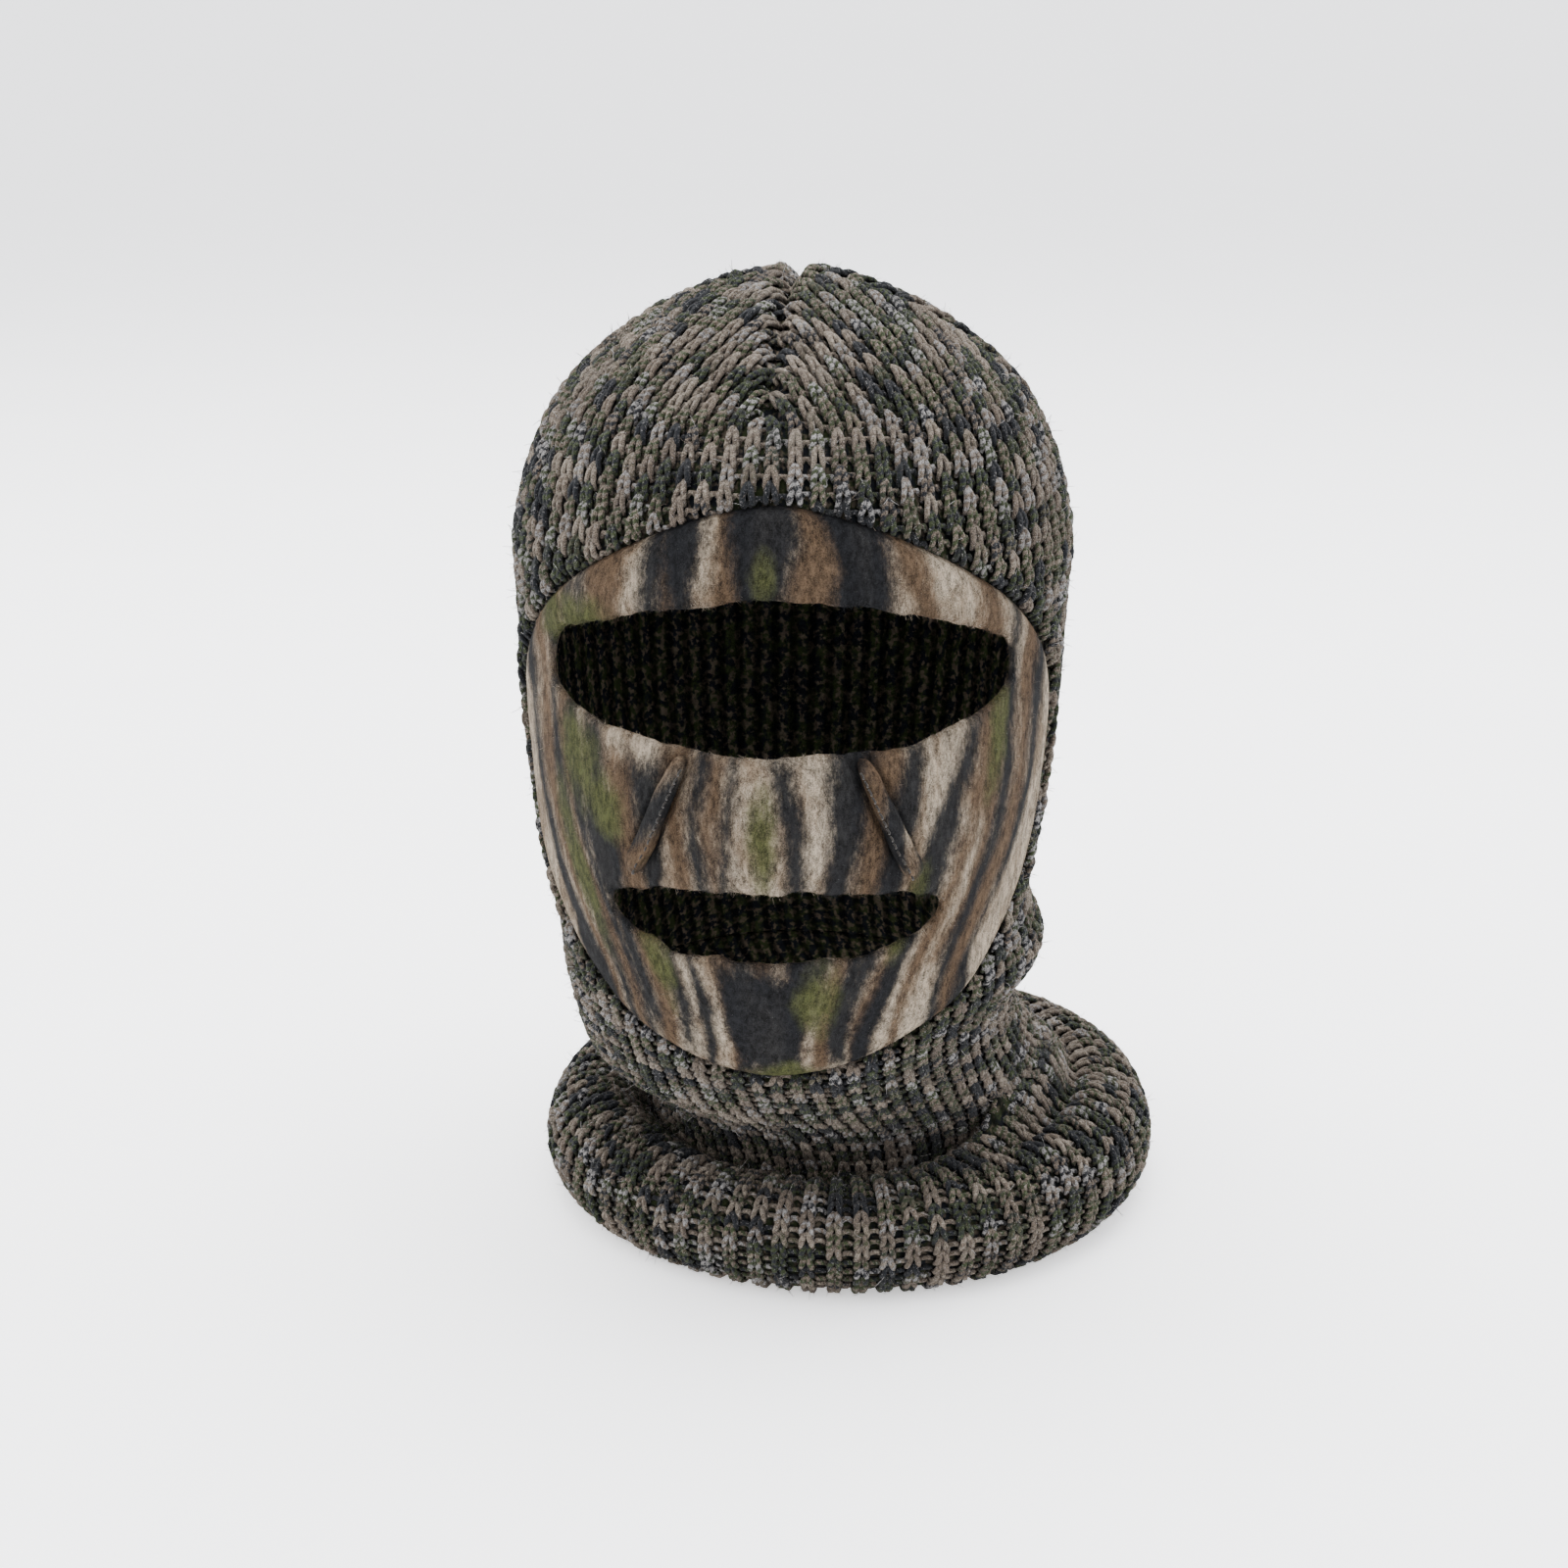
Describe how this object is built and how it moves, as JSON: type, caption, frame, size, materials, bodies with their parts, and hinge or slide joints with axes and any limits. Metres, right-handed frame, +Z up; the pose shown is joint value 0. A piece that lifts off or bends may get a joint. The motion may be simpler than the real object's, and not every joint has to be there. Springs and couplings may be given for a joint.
{
  "type": "knitted face mask",
  "caption": "Knitted pull-over cold-weather face mask with a fleece face panel, an eye opening, a mouth opening and a rolled neck hem.",
  "frame": {"origin": "on the table, under the middle of the whole mask's box, where it stands on its rolled hem", "axes": "+Z up through the crown, the face looks along -Y, and the wearer's left side is +X"},
  "size_m": [0.1988, 0.242, 0.296],
  "materials": {
    "marled_knit": "chunky rib knit in marled yarn: taupe, dark green, near black and pale flecks, slightly fuzzy",
    "bark_fleece": "napped fleece with a soft-edged bark camouflage of vertical streaks in tan, brown, charcoal and moss green",
    "overlock_thread": "overlocked seam allowance in dark olive thread",
    "sewing_thread": "matt dark brown sewing thread"
  },
  "bodies": {
    "hem": {"hem_roll": "marled_knit", "neck_tube": "marled_knit"},
    "hood": {"knit_hood": "marled_knit", "chin_band": "marled_knit", "face_panel": "bark_fleece", "face_seam": "overlock_thread", "crown_seam_front": "overlock_thread", "crown_seam_left": "overlock_thread", "crown_seam_back": "overlock_thread", "crown_seam_right": "overlock_thread", "nose_dart_left": "bark_fleece", "nose_dart_right": "bark_fleece", "nose_dart_thread_left": "sewing_thread", "nose_dart_thread_right": "sewing_thread"}
  },
  "joints": [
    {"name": "neck_draw", "type": "slide", "parent": "hem", "child": "hood", "axis": [0, 0, 1], "range_m": [0, 0.02], "deforming": ["neck_tube"]}
  ]
}
